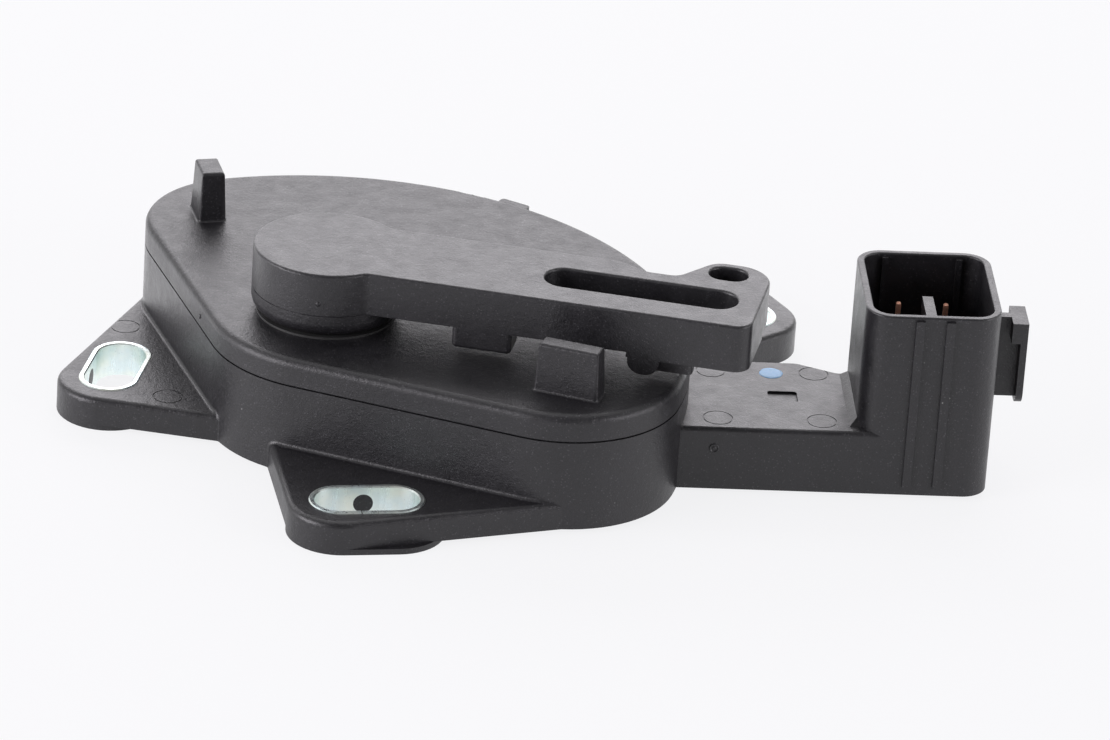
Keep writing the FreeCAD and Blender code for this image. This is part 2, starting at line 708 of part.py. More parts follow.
def stop_outline(start, length, low, high):
    """Stop in plan, in a frame whose X axis runs along the lever at that end of its travel."""
    return rectangle(start, low, start + length, high, size("stop_round"))


def turned(loop, angle):
    """Outline turned about the pivot axis."""
    moved = []
    for edge in loop:
        copy = edge.copy()
        copy.rotate(FreeCAD.Placement(Vector(0, 0, 0), Vector(0, 0, 1), angle))
        moved.append(copy)
    return moved


def build_cover():
    """Plate with a rim, the boss for the pivot, and the two stops for the lever."""
    body = new_body("cover")
    back, back_radius = sector_corners()["back"]
    flank = size("arm_width") / 2 + size("stop_clearance")
    pad(body, "cover_plate", JOINT, "cover_height", sector())
    round_top(body, "cover_edge", "cover_edge_round", COVER_TOP, sector())
    joint = level(JOINT)
    dress(body, "Chamfer", "joint_line", "joint_bevel", lambda edge: flat_at(edge, joint))
    half = size("lug_width") / 2
    reach = back_radius + size("lug_height")
    lug = rectangle(back_radius - size("wall"), -half, reach, half, size("lug_height") / 2)
    lug = [shifted(edge, back) for edge in turned(lug, size("lug_angle"))]
    pad(body, "lug", JOINT + " + joint_bevel", "cover_height - joint_bevel - lug_drop", lug)
    pocket(body, "hollow", COVER_UNDER, "cover_height - cover_skin", sector(size("wall")))
    gap = size("wall") + size("spigot_clearance")
    pad(body, "spigot", JOINT + " - spigot_depth", "spigot_depth + cover_height - cover_skin",
        sector(gap), sector(gap + size("spigot_wall")))
    sleeve = size("shaft_radius") + size("running_clearance") + size("bush_wall")
    seal = size("shaft_radius") + size("seal_clearance") + size("seal_width")
    pad(body, "boss", BOSS_BOTTOM, "boss_depth", circle(sleeve + size("boss_wall")))
    pocket(body, "bush_bore", COVER_TOP, "cover_skin + boss_depth", circle(sleeve))
    pocket(body, "seal_seat", COVER_TOP, "seal_height", circle(seal))
    block = stop_outline(size("block_start"), size("block_length"),
                         -flank - size("block_thickness"), -flank)
    block = turned(block, size("low_stop_angle"))
    pad(body, "stop_block", COVER_TOP, "block_height", block, draft="0 - stop_draft")
    finish_stop(body, "block", block, COVER_TOP + " + block_height")
    post = stop_outline(size("post_start"), size("post_length"), flank, flank + size("post_thickness"))
    post = turned(post, size("high_stop_angle"))
    pad(body, "stop_post", COVER_TOP, "post_height", post, draft="0 - stop_draft")
    finish_stop(body, "post", post, COVER_TOP + " + post_height")
    return body


def finish_stop(body, name, foot, top):
    """Rounded top edges of a stop, and a fillet at its foot."""
    high, low = level(top), level(COVER_TOP)
    dress(body, "Fillet", name + "_edge", "stop_edge_round", lambda edge: flat_at(edge, high))
    dress(body, "Fillet", name + "_foot", "stop_foot_round",
          lambda edge: flat_at(edge, low) and on_outline(edge, foot))


def shifted(edge, step):
    """Edge moved in its plane."""
    copy = edge.copy()
    copy.translate(step)
    return copy


# Lever

def arm_outline(start):
    """Arm in plan, along X, with the hollow and the bulge on its back edge."""
    half = size("arm_width") / 2
    reach = size("arm_reach")
    bulge_start = reach - size("bulge_length")
    top = half + size("bulge")
    low = half - size("dip")
    ease = size("dip")
    return rounded([
        (start, -half, 0), (reach, -half, size("arm_corner")), (reach, top, size("bulge_round")),
        (bulge_start + ease, top, size("bulge_near_round")),
        (bulge_start - ease, low, ease), (bulge_start - 3 * ease, low, ease),
        (bulge_start - 5 * ease, half, ease), (start, half, 0),
    ])


def tip_outline():
    """End of the arm in plan, where it is thicker."""
    half = size("arm_width") / 2
    reach = size("arm_reach")
    return rounded([
        (reach - size("tip_length"), -half, 0), (reach, -half, size("arm_corner")),
        (reach, half - size("dip"), size("arm_corner")),
        (reach - size("tip_length"), half - size("dip"), 0),
    ])


def obround(centre_x, centre_y, length, width):
    """Slot along the arm."""
    half = (length - width) / 2
    ends = [Vector(centre_x + sign * half, centre_y, 0) for sign in (-1, 1)]
    return hull([(end, width / 2) for end in ends])


def build_lever():
    """Hub and arm in one moulding, drawn with the arm along X and turned to its rest angle."""
    body = new_body("lever")
    half = size("arm_width") / 2
    pad(body, "hub", HUB_BOTTOM, "hub_height", circle(size("hub_radius")))
    bottom = level(HUB_BOTTOM)
    dress(body, "Fillet", "hub_edge", "hub_round", lambda edge: flat_at(edge, bottom))
    pad(body, "arm", ARM_BOTTOM, "arm_thickness", arm_outline(0.0))
    root = math.sqrt(size("hub_radius") ** 2 - half ** 2)
    dress(body, "Fillet", "arm_roots", "hub_fillet", lambda edge: upright_at(edge, root, half))
    pad(body, "tip", ARM_BOTTOM + " - tip_extra", "tip_extra", tip_outline())
    low = level(ARM_BOTTOM + " - pad_drop")
    first = size("pad_start")
    near_pad = rectangle(first, -half, first + size("pad_length"), size("pad_depth") - half,
                         size("pad_round"))
    pad(body, "near_pad", ARM_BOTTOM + " - pad_drop", "pad_drop", near_pad)
    dress(body, "Fillet", "near_pad_edge", "pad_edge_round", lambda edge: flat_at(edge, low))
    start = size("tab_start")
    tab = rectangle(start, -half, start + size("tab_length"), size("tab_depth") - half)
    pad(body, "tab", ARM_BOTTOM + " - pad_drop", "pad_drop", tab)
    dress(body, "Fillet", "tab_end", "tab_round",
          lambda edge: (flat_at(edge, low) and edge.BoundBox.XLength < NEAR
                        and edge.BoundBox.XMin > start - NEAR))
    second = size("far_pad_start")
    face = size("far_pad_setback") - half
    far_pad = rectangle(second, face, second + size("far_pad_length"), face + size("far_pad_depth"),
                        size("pad_round"))
    pad(body, "far_pad", ARM_BOTTOM + " - pad_drop", "pad_drop", far_pad)
    length = size("long_slot_length")
    middle = size("long_slot_start") + length / 2
    pocket(body, "long_slot", LEVER_TOP, "arm_thickness + pad_drop",
           obround(middle, 0.0, length, size("long_slot_width")))
    pocket(body, "small_slot", LEVER_TOP, "arm_thickness + pad_drop",
           obround(size("small_slot_x"), size("small_slot_y"), size("small_slot_length"),
                   size("small_slot_width")))
    pocket(body, "shaft_socket", HUB_BOTTOM + " + shaft_depth", "shaft_depth", circle(size("shaft_radius")))
    hub = size("hub_radius")
    pocket(body, "hub_line", ARM_BOTTOM, "parting_line", circle(hub), circle(hub - size("parting_line")))
    top = level(LEVER_TOP)
    dress(body, "Fillet", "lever_edge", "arm_edge_round", lambda edge: flat_at(edge, top))
    turn_with_lever(body)
    return body


def upright_at(edge, x, y):
    """True for an upright edge at this place, on either side of the arm."""
    box = edge.BoundBox
    thin = box.XLength < NEAR and box.YLength < NEAR and box.ZLength > NEAR
    return thin and abs(box.XMin - x) < NEAR and abs(abs(box.YMin) - y) < NEAR


def turn_with_lever(item):
    """Place a piece that is drawn along X at the lever's rest angle."""
    item.Placement = FreeCAD.Placement(Vector(0, 0, 0), FreeCAD.Rotation(Vector(0, 0, 1), 1))
    item.setExpression("Placement.Rotation.Angle", cell("lever_angle * 1 deg"))


# Round pieces about the pivot axis

def ring(label, height, thickness, inner, outer):
    """Plain ring about the pivot axis."""
    body = new_body(label)
    pad(body, label + "_ring", height, thickness, circle(outer), circle(inner))
    return body


def build_shaft():
    """Stepped shaft: journal, double-flat drive for the contact arm, and the stem in the hub."""
    body = new_body("pivot_shaft")
    pad(body, "journal", BUSH_SEAT + " + journal_gap", "floor_bush_height + arm_gap - journal_gap",
        circle(size("journal_radius")))
    pad(body, "drive", CARRIER_BOTTOM, "carrier_hub_height", drive_outline(0.0))
    stem = HUB_BOTTOM + " + shaft_depth - ( " + CARRIER_TOP + " )"
    pad(body, "stem", CARRIER_TOP, stem, circle(size("shaft_radius")))
    pocket(body, "clip_groove", BUSH_BOTTOM, "clip_thickness + 2 * clip_gap",
           circle(size("shaft_radius") * 2), circle(size("shaft_radius") - size("clip_groove_depth")))
    turn_with_lever(body)
    return body


def drive_outline(clearance):
    """Circle with two flats, which turns the contact arm."""
    radius = size("drive_radius") + clearance
    flat = size("drive_flat") + clearance
    half = math.sqrt(radius ** 2 - flat ** 2)
    origin = Vector(0, 0, 0)
    low_left, low_right = Vector(-half, -flat, 0), Vector(half, -flat, 0)
    high_left, high_right = Vector(-half, flat, 0), Vector(half, flat, 0)
    return [
        Part.LineSegment(low_left, low_right), arc(origin, radius, low_right, high_right),
        Part.LineSegment(high_right, high_left), arc(origin, radius, high_left, low_left),
    ]


def build_clip():
    """Open ring in the shaft's groove, under the cover bush."""
    body = new_body("retaining_clip")
    inner = size("shaft_radius") - size("clip_groove_depth")
    outer = inner + size("clip_width")
    half = size("clip_mouth") / 2
    low = BUSH_BOTTOM + " - clip_gap - clip_thickness"
    pad(body, "clip_ring", low, "clip_thickness", circle(outer), circle(inner))
    pocket(body, "clip_opening", BUSH_BOTTOM + " - clip_gap", "clip_thickness",
           rectangle(0.0, -half, outer * 2, half))
    turn_with_lever(body)
    return body


def build_cover_bush():
    """Flanged bush in the cover's boss."""
    body = new_body("cover_bush")
    inner = size("shaft_radius") + size("running_clearance")
    sleeve = inner + size("bush_wall")
    pad(body, "flange", BUSH_BOTTOM, "bush_flange_thickness",
        circle(sleeve + size("bush_flange")), circle(inner))
    pad(body, "sleeve", BOSS_BOTTOM, "cover_skin + boss_depth - seal_height",
        circle(sleeve), circle(inner))
    return body


def build_pivot_rings():
    """Seal, washer and floor bush."""
    shaft = size("shaft_radius")
    seal_inner = shaft + size("seal_clearance")
    washer_inner = shaft + size("washer_bore_clearance")
    bore = size("journal_radius") + size("running_clearance")
    return [
        ring("shaft_seal", COVER_TOP + " - seal_height", "seal_height",
             seal_inner, seal_inner + size("seal_width")),
        ring("thrust_washer", COVER_TOP, "washer_thickness",
             washer_inner, size("hub_radius") - size("washer_inset")),
        ring("floor_bush", BUSH_SEAT, "floor_bush_height", bore, bore + size("floor_bush_wall")),
    ]


# Bushings of the ears

def build_bushing(side):
    """Slotted steel sleeve with a hole in each long wall that the plastic grips."""
    body = new_body(side + "_sleeve_body")
    inner = size("slot_width") / 2
    pad(body, side + "_sleeve", "0 mm", EAR_TOP + " + bushing_proud",
        slot_outline(side, inner + size("bushing_wall")), slot_outline(side, inner))
    top = level(EAR_TOP) + size("bushing_proud")
    dress(body, "Chamfer", side + "_sleeve_bevel", "bushing_bevel", lambda edge: flat_at(edge, top))
    reach = size("slot_width") + 2 * size("bushing_wall")
    centre = Vector(size(side + "_slot_x"), size(side + "_slot_y"), level(EAR_TOP) / 2)
    across = polar(size(side + "_slot_angle") + 90)
    near = -size("seam_offset")
    seam = rectangle(near, -reach, near + size("seam_width"), 0.0)
    seam = [shifted(edge, Vector(centre.x, centre.y, 0)) for edge in turned(seam, size(side + "_slot_angle"))]
    pocket(body, side + "_seam", EAR_TOP + " + bushing_proud", EAR_TOP + " + bushing_proud", seam)
    hole = doc.addObject("Part::Cylinder", side + "_grip_hole")
    hole.setExpression("Radius", cell("grip_hole / 2"))
    hole.setExpression("Height", cell("slot_width + 2 * bushing_wall"))
    hole.Placement = FreeCAD.Placement(
        centre - across * (reach / 2), FreeCAD.Rotation(Vector(0, 0, 1), across))
    bushing = doc.addObject("Part::Cut", "slot_bushing_" + side)
    bushing.Base = body
    bushing.Tool = hole
    return bushing


# Seal in the joint

def build_cover_seal():
    """Bead in the channel of the case's rim."""
    body = new_body("cover_seal")
    side_room = (size("wall") - size("seal_groove")) / 2
    pad(body, "bead", JOINT + " - seal_groove", "seal_groove",
        sector(side_room), sector(side_room + size("seal_groove")))
    return body


# Contacts

# Each contact arc with its place counted from the axis, and the angles where it starts and ends
TRACKS = [
    ("track_common", 0, -24.0, 103.0),
    ("track_park", 1, -24.0, 24.0),
    ("track_neutral", 2, -24.0, 60.0),
    ("track_reverse", 3, -24.0, 88.0),
]


def lane(row, outer):
    """Y of a terminal's strip: the outer pin's strip runs beside the inner pin's."""
    y = size("tower_y") + row * size("row_spacing") / 2
    return y - row * size("lane_shift") * outer


# Each terminal with its row in the socket (1 at the back) and its column (1 farthest from the case)
TERMINALS = [
    ("terminal_a", 1, 0),
    ("terminal_b", 1, 1),
    ("terminal_c", -1, 0),
    ("terminal_d", -1, 1),
]


def tail_x(index, y):
    """X at which a terminal's tail meets the middle of its contact arc."""
    radius = size("track_radius") + index * size("track_pitch")
    return math.sqrt(radius ** 2 - y ** 2)


def tail_order(label):
    """Contact arc that a terminal feeds: the strips nearest the pivot's line feed the inner arcs."""
    return {"terminal_a": 0, "terminal_b": 1, "terminal_d": 2, "terminal_c": 3}[label]


def build_terminal(label, row, outer):
    """Square pin in the socket, a strip through the neck, and a tail up through the board."""
    pin = size("pin_size")
    x = size("tower_x") + (outer - 0.5) * size("pin_spacing")
    y = size("tower_y") + row * size("row_spacing") / 2
    strip_y = lane(row, outer)
    start = tail_x(tail_order(label), strip_y) - pin / 2
    half = size("strip_width") / 2
    body = new_body(label)
    strip = rectangle(start, strip_y - half, x + half, strip_y + half)
    pad(body, label + "_strip", FLOOR_TOP, "pin_size", strip)
    if outer:
        jog = rectangle(x - half, min(y, strip_y) - half, x + half, max(y, strip_y) + half)
        pad(body, label + "_jog", FLOOR_TOP, "pin_size", jog)
    post = rectangle(x - pin / 2, y - pin / 2, x + pin / 2, y + pin / 2)
    pad(body, label + "_pin", FLOOR_TOP, PIN_LENGTH, post)
    tip = level(RIM) - size("pin_below_rim")
    dress(body, "Chamfer", label + "_point", "pin_taper", lambda edge: flat_at(edge, tip))
    tail = rectangle(start, strip_y - pin / 2, start + pin, strip_y + pin / 2)
    pad(body, label + "_tail", FLOOR_TOP, "ledge_height + board_thickness", tail)
    return body


def build_board():
    """Insulating plate on the case's ledge, with holes for the boss and the terminals' tails."""
    body = new_body("track_board")
    bush = size("journal_radius") + size("running_clearance") + size("floor_bush_wall")
    bore = bush + size("floor_boss_wall") + size("board_bore_clearance")
    pad(body, "board", BOARD_BOTTOM, "board_thickness",
        sector(size("wall") + size("board_clearance")), circle(bore))
    pin = size("pin_size")
    for label, row, outer in TERMINALS:
        y = lane(row, outer)
        x = tail_x(tail_order(label), y)
        hole = rectangle(x - pin / 2, y - pin / 2, x + pin / 2, y + pin / 2)
        pocket(body, label + "_hole", BOARD_TOP, "board_thickness", hole)
    return body


def build_track(label, index, first, last):
    """Contact arc on the board."""
    body = new_body(label)
    radius = size("track_radius") + index * size("track_pitch")
    half = size("track_width") / 2
    origin = Vector(0, 0, 0)
    inner_start, inner_end = polar(first, radius - half), polar(last, radius - half)
    outer_start, outer_end = polar(first, radius + half), polar(last, radius + half)
    band = [
        arc(origin, radius - half, inner_start, inner_end), Part.LineSegment(inner_end, outer_end),
        arc(origin, radius + half, outer_start, outer_end), Part.LineSegment(outer_start, inner_start),
    ]
    pad(body, label + "_band", BOARD_TOP, "track_thickness", band)
    return body


def wiper_spots(pair):
    """Distances from the axis of the two arcs that a wiper bridges."""
    return [size("track_radius") + index * size("track_pitch") for index in pair]


def build_carrier():
    """Contact arm: a hub with the drive's double-flat bore, and a plate that holds the wipers."""
    body = new_body("contact_arm")
    half = size("carrier_width") / 2
    pad(body, "carrier_hub", CARRIER_BOTTOM, "carrier_hub_height", circle(size("carrier_hub")))
    plate = rectangle(0.0, -half, size("carrier_reach"), half, half / 2)
    pad(body, "carrier_plate_pad", PLATE_BOTTOM, "carrier_plate", plate)
    pocket(body, "drive_bore", CARRIER_TOP, "carrier_hub_height", drive_outline(0.0))
    for index, (x, y) in enumerate(rivet_spots()):
        pocket(body, "rivet_hole_%d" % index, CARRIER_TOP, "carrier_plate",
               circle(size("rivet_radius"), x, y))
    turn_with_lever(body)
    return body


WIPERS = [("wiper_inner", (0, 1)), ("wiper_outer", (2, 3))]


def rivet_spots():
    """Two rivets for each wiper."""
    spots = []
    for _, pair in WIPERS:
        near, far = wiper_spots(pair)
        middle = (near + far) / 2
        for sign in (-1, 1):
            spots.append((middle + sign * size("rivet_head"), -size("carrier_width") / 4))
    return spots


def build_wiper(label, pair):
    """Strip under the contact arm whose two fingers step down to their arcs."""
    body = new_body(label)
    near, far = wiper_spots(pair)
    half = size("wiper_width") / 2
    finger = size("wiper_finger") / 2
    edge = size("carrier_width") / 2
    base = rectangle(near - half, -edge, far + half, 0.0)
    pad(body, label + "_base", PLATE_BOTTOM + " - wiper_thickness", "wiper_thickness", base)
    for index, spot in enumerate((near, far)):
        leg = rectangle(spot - finger, -size("wiper_thickness"), spot + finger, 0.0)
        pad(body, label + "_leg_%d" % index, WIPER_BOTTOM, PLATE_BOTTOM + " - ( " + WIPER_BOTTOM + " )", leg)
        foot = rectangle(spot - finger, -size("wiper_thickness"), spot + finger, finger * 2)
        pad(body, label + "_foot_%d" % index, WIPER_BOTTOM, "wiper_thickness", foot)
    for index, (x, y) in enumerate(rivet_spots()):
        if near - half < x < far + half:
            hole = circle(size("rivet_radius"), x, y)
            pocket(body, label + "_hole_%d" % index, PLATE_BOTTOM, "wiper_thickness", hole)
    turn_with_lever(body)
    return body


def build_rivets():
    """Rivets that clamp the wipers to the contact arm, all in one node."""
    shapes = []
    shank = size("carrier_plate") + size("wiper_thickness")
    head = size("rivet_head_thickness")
    bottom = level(PLATE_BOTTOM) - size("wiper_thickness")
    for x, y in rivet_spots():
        stem = Part.makeCylinder(size("rivet_radius"), shank, Vector(x, y, bottom))
        low = Part.makeCylinder(size("rivet_head"), head, Vector(x, y, bottom - head))
        high = Part.makeCylinder(size("rivet_head"), head, Vector(x, y, bottom + shank))
        shapes.append(stem.fuse([low, high]).removeSplitter())
    group = doc.addObject("Part::Feature", "wiper_rivets")
    group.Shape = Part.makeCompound(shapes)
    turn_with_lever(group)
    return group


def seat_inserts(moulding, inserts):
    """Housing: the moulding with seats where the plastic was shot round the terminals and bushings."""
    seats = doc.addObject("Part::MultiFuse", "insert_seats")
    seats.Shapes = inserts
    housing = doc.addObject("Part::Cut", "housing")
    housing.Base = moulding
    housing.Tool = seats
    return housing


def build_all():
    """Every piece of the sensor."""
    moulding = build_housing()
    inserts = [build_bushing(side) for side in SIDES]
    inserts += [build_terminal(*row) for row in TERMINALS]
    pieces = [seat_inserts(moulding, inserts)] + inserts
    pieces += [build_cover(), build_lever(), build_shaft(), build_clip(), build_cover_bush()]
    pieces += build_pivot_rings()
    pieces += [build_cover_seal(), build_board(), build_carrier()]
    pieces += [build_track(*row) for row in TRACKS]
    pieces += [build_wiper(*row) for row in WIPERS]
    pieces.append(build_rivets())
    doc.recompute()
    return pieces


def check_and_write(pieces):
    """Stop on any failed object, then write each piece to its own file."""
    for item in doc.Objects:
        if "Invalid" in item.State or "Error" in item.State:
            raise RuntimeError(item.Name + " failed: " + str(item.State))
    os.makedirs("parts", exist_ok=True)
    for item in pieces:
        shape = item.Shape
        if shape.isNull() or not shape.isValid():
            raise RuntimeError(item.Label + " has no valid shape")
        shape.exportStep(os.path.join("parts", item.Label + ".step"))
        print(item.Label, len(shape.Solids), "solids", round(shape.Volume, 1), "mm3")


check_and_write(build_all())
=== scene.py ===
"""Looks of the neutral position sensor: materials, small surface details, soft studio light and camera."""
import json
import math

import bmesh
import bpy
from mathutils import Matrix, Vector, noise


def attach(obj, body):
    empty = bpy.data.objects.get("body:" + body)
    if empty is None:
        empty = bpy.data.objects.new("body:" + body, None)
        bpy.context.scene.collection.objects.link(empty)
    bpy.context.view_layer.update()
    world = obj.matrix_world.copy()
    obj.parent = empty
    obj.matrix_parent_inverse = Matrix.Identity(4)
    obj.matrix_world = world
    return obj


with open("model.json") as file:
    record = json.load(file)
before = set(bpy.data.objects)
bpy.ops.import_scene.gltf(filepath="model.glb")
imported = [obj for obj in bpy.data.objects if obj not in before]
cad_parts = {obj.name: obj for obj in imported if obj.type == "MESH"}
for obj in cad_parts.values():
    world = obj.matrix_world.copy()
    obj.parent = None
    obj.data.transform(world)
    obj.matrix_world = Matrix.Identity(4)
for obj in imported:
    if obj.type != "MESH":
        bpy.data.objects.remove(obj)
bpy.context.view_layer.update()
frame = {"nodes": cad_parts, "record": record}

scene = bpy.context.scene
scene.view_settings.view_transform = "Standard"
MM = 0.001


# Node helpers

class Nodes:
    """Node tree of one material, with short calls for the nodes used here."""

    def __init__(self, name):
        self.material = bpy.data.materials.new(name)
        self.material.use_nodes = True
        self.tree = self.material.node_tree
        self.shader = self.tree.nodes["Principled BSDF"]
        self.coordinates = self.add("ShaderNodeTexCoord").outputs["Object"]

    def add(self, kind, **values):
        node = self.tree.nodes.new(kind)
        for key, value in values.items():
            setattr(node, key, value)
        return node

    def link(self, source, target):
        self.tree.links.new(source, target)

    def stretched(self, scale):
        """Object coordinates stretched along the axes."""
        node = self.add("ShaderNodeMapping")
        self.link(self.coordinates, node.inputs["Vector"])
        node.inputs["Scale"].default_value = scale
        return node.outputs["Vector"]

    def noise(self, scale, detail=3.0, roughness=0.55, vector=None, distortion=0.0):
        node = self.add("ShaderNodeTexNoise")
        self.link(vector or self.coordinates, node.inputs["Vector"])
        node.inputs["Scale"].default_value = scale
        node.inputs["Detail"].default_value = detail
        node.inputs["Roughness"].default_value = roughness
        node.inputs["Distortion"].default_value = distortion
        return node.outputs["Fac"]

    def cells(self, scale, vector=None, randomness=1.0):
        """Distance to the nearest of many scattered points."""
        node = self.add("ShaderNodeTexVoronoi")
        self.link(vector or self.coordinates, node.inputs["Vector"])
        node.inputs["Scale"].default_value = scale
        node.inputs["Randomness"].default_value = randomness
        return node.outputs["Distance"]

    def band(self, value, low, high, out_low=0.0, out_high=1.0):
        node = self.add("ShaderNodeMapRange")
        self.link(value, node.inputs["Value"])
        for key, number in zip(("From Min", "From Max", "To Min", "To Max"), (low, high, out_low, out_high)):
            node.inputs[key].default_value = number
        return node.outputs["Result"]

    def maths(self, operation, first, second):
        node = self.add("ShaderNodeMath", operation=operation)
        for socket, value in zip(node.inputs, (first, second)):
            if isinstance(value, (int, float)):
                socket.default_value = value
            else:
                self.link(value, socket)
        return node.outputs["Value"]

    def mix(self, factor, first, second):
        """Mix of two colours, each a socket or three numbers. The node's colours are sockets 6, 7 and 2."""
        node = self.add("ShaderNodeMix", data_type="RGBA")
        self.link(factor, node.inputs["Factor"])
        for socket, value in zip((node.inputs[6], node.inputs[7]), (first, second)):
            if isinstance(value, (tuple, list)):
                socket.default_value = (*value, 1.0)
            else:
                self.link(value, socket)
        return node.outputs[2]

    def bump(self, height, distance, strength=1.0, normal=None):
        node = self.add("ShaderNodeBump")
        node.inputs["Distance"].default_value = distance
        node.inputs["Strength"].default_value = strength
        self.link(height, node.inputs["Height"])
        if normal:
            self.link(normal, node.inputs["Normal"])
        return node.outputs["Normal"]

    def set(self, **values):
        """Shader inputs by name, with underscores for spaces: numbers are set and sockets are linked."""
        for key, value in values.items():
            socket = self.shader.inputs[key.replace("_", " ")]
            if isinstance(value, (int, float)):
                socket.default_value = value
            elif isinstance(value, (tuple, list)):
                socket.default_value = (*value, 1.0)
            else:
                self.link(value, socket)
        return self.material


# Materials

def moulded_plastic(name, dark, light, rough=0.36):
    """Glass-filled black plastic: fine spark-eroded grain, flow mottling, fibre flecks painted lighter as
    glints (painted highlights) and a little dust.
    """
    m = Nodes(name)
    flow = m.noise(70.0, 4.0, 0.6, m.stretched((1.0, 0.45, 1.0)), 0.6)
    mottle = m.noise(420.0, 3.0)
    grain = m.noise(5200.0, 2.0, 0.5)
    orange = m.noise(1300.0, 2.0, 0.5)
    fibre_glint = m.band(m.cells(2400.0, m.stretched((1.0, 0.6, 1.0))), 0.30, 0.10)
    fibre_glint = m.maths("MULTIPLY", fibre_glint, m.band(m.noise(900.0, 1.0), 0.40, 0.58))
    dust = m.maths("MULTIPLY", m.band(m.cells(520.0), 0.07, 0.03), m.band(m.noise(150.0, 1.0), 0.60, 0.72))
    tone = m.maths("ADD", m.band(flow, 0.3, 0.7, 0.0, 0.4), m.band(mottle, 0.3, 0.7, 0.0, 0.25))
    tone = m.maths("ADD", tone, m.band(grain, 0.36, 0.64, -0.15, 0.5))
    colour = m.mix(tone, dark, light)
    # Painted highlight: the fibre flecks are painted into the colour as light glints.
    colour = m.mix(m.maths("MULTIPLY", fibre_glint, 0.45), colour, (0.10, 0.097, 0.105))
    colour = m.mix(m.maths("MULTIPLY", dust, 0.7), colour, (0.30, 0.30, 0.29))
    roughness = m.maths("ADD", m.band(mottle, 0.3, 0.7, rough - 0.04, rough + 0.05),
                        m.band(grain, 0.35, 0.65, 0.0, 0.06))
    normal = m.bump(orange, 0.00006, 0.8)
    normal = m.bump(grain, 0.00004, 0.8, normal)
    return m.set(Base_Color=colour, Roughness=roughness, Normal=normal, Specular_IOR_Level=0.58)


def plated_steel(name):
    """Bright zinc on drawn steel: fine lines along the draw, a faint blue and yellow cast and small pits."""
    m = Nodes(name)
    lines = m.noise(1400.0, 3.0, 0.6, m.stretched((1.0, 1.0, 0.06)))
    cloud = m.noise(260.0, 3.0)
    pits = m.band(m.cells(1500.0), 0.12, 0.05)
    tint = m.mix(m.band(cloud, 0.35, 0.65), (0.72, 0.82, 0.83), (0.84, 0.88, 0.81))
    colour = m.mix(m.maths("MULTIPLY", pits, 0.5), tint, (0.34, 0.35, 0.36))
    roughness = m.maths("ADD", m.band(lines, 0.3, 0.7, 0.20, 0.36), m.band(cloud, 0.3, 0.7, 0.0, 0.08))
    normal = m.bump(lines, 0.00002, 0.5)
    return m.set(Base_Color=colour, Roughness=roughness, Normal=normal, Metallic=1.0)


def drawn_metal(name, base, worn, rough):
    """Drawn or rolled contact metal: lines along the length and a thin tarnish."""
    m = Nodes(name)
    lines = m.noise(2600.0, 3.0, 0.6, m.stretched((0.08, 1.0, 0.3)))
    cloud = m.noise(500.0, 3.0)
    colour = m.mix(m.band(cloud, 0.3, 0.7), base, worn)
    roughness = m.band(lines, 0.3, 0.7, rough - 0.06, rough + 0.10)
    normal = m.bump(lines, 0.00001, 0.5)
    return m.set(Base_Color=colour, Roughness=roughness, Normal=normal, Metallic=1.0)


def sintered_metal(name):
    """Sintered bronze: open pores between pressed grains."""
    m = Nodes(name)
    pores = m.band(m.cells(3200.0), 0.05, 0.22)
    colour = m.mix(pores, (0.18, 0.11, 0.05), (0.56, 0.38, 0.20))
    normal = m.bump(pores, 0.00003, 0.6)
    roughness = m.band(pores, 0.0, 1.0, 0.62, 0.40)
    return m.set(Base_Color=colour, Roughness=roughness, Normal=normal, Metallic=1.0)


def laminate(name):
    """Phenolic laminate: paper fibres under resin."""
    m = Nodes(name)
    fibre = m.noise(900.0, 5.0, 0.7, m.stretched((1.0, 0.15, 1.0)))
    cloud = m.noise(120.0, 3.0)
    colour = m.mix(m.band(fibre, 0.3, 0.7), (0.22, 0.14, 0.06), (0.34, 0.24, 0.11))
    colour = m.mix(m.band(cloud, 0.4, 0.8, 0.0, 0.4), colour, (0.26, 0.20, 0.10))
    normal = m.bump(fibre, 0.00001, 0.4)
    return m.set(Base_Color=colour, Roughness=m.band(fibre, 0.3, 0.7, 0.32, 0.46), Normal=normal)


def natural_plastic(name, dark, light):
    """Unpigmented or dark engineering plastic with fine flow lines."""
    m = Nodes(name)
    flow = m.noise(300.0, 4.0, 0.6, m.stretched((0.3, 1.0, 1.0)))
    grain = m.noise(4200.0, 2.0)
    colour = m.mix(m.band(flow, 0.3, 0.7), dark, light)
    normal = m.bump(grain, 0.00001, 0.4)
    return m.set(Base_Color=colour, Roughness=m.band(flow, 0.3, 0.7, 0.40, 0.52), Normal=normal)


def rubber(name):
    """Matt rubber with a bloom."""
    m = Nodes(name)
    bloom = m.noise(600.0, 4.0, 0.6)
    grain = m.noise(3600.0, 2.0)
    colour = m.mix(m.band(bloom, 0.35, 0.75), (0.016, 0.016, 0.016), (0.05, 0.05, 0.048))
    normal = m.bump(grain, 0.00002, 0.4)
    return m.set(Base_Color=colour, Roughness=m.band(bloom, 0.3, 0.7, 0.62, 0.82), Normal=normal)


def paint(name):
    """Dab of light blue marking paint, thinner at its edge."""
    m = Nodes(name)
    brush = m.noise(1500.0, 4.0, 0.6)
    colour = m.mix(m.band(brush, 0.3, 0.7), (0.22, 0.50, 0.86), (0.36, 0.64, 0.95))
    normal = m.bump(brush, 0.00003, 0.5)
    return m.set(Base_Color=colour, Roughness=m.band(brush, 0.3, 0.7, 0.34, 0.50), Normal=normal)


